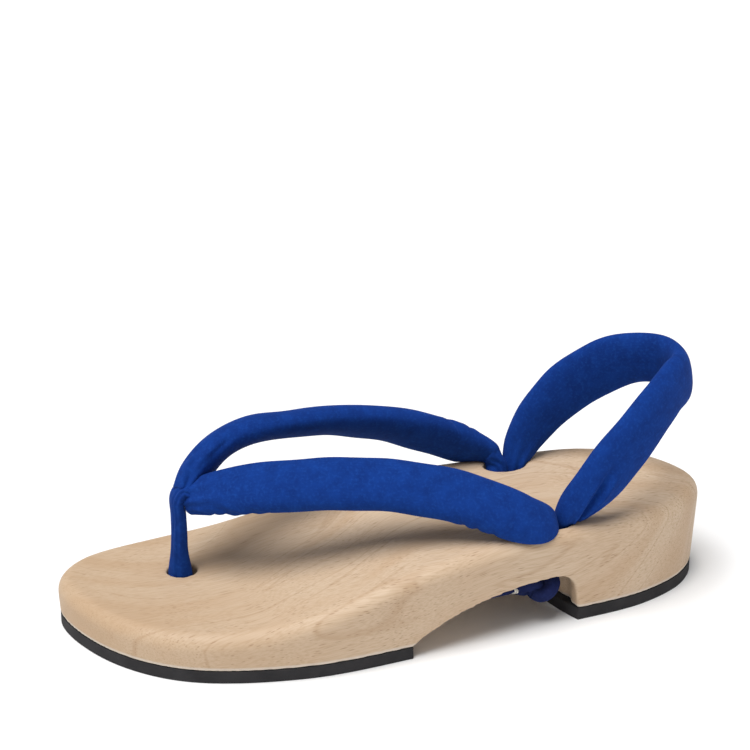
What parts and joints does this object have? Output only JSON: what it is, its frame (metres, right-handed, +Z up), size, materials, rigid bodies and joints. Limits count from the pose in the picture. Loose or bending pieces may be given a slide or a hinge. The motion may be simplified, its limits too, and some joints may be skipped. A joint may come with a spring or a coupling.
{
  "type": "geta sandal",
  "caption": "Wooden geta sandal, low at the toes and raised at the heel, with rubber treads, a padded toe thong and a padded heel strap.",
  "frame": {"origin": "on the floor, under the middle of the sole", "axes": "+X to the little-toe side, -Y to the toes, +Y to the heel, +Z up"},
  "size_m": [0.1026, 0.2616, 0.0992],
  "materials": {
    "wood": "pale rubberwood, sanded, with short brown flecks",
    "rubber": "matt black sponge rubber",
    "fabric": "brushed blue knit fabric over soft padding"
  },
  "bodies": {
    "root": {"base": "wood", "front_outsole": "rubber", "heel_outsole": "rubber", "hanao": "fabric", "heel_strap": "fabric", "knot_lateral": "fabric", "knot_medial": "fabric"}
  },
  "joints": []
}
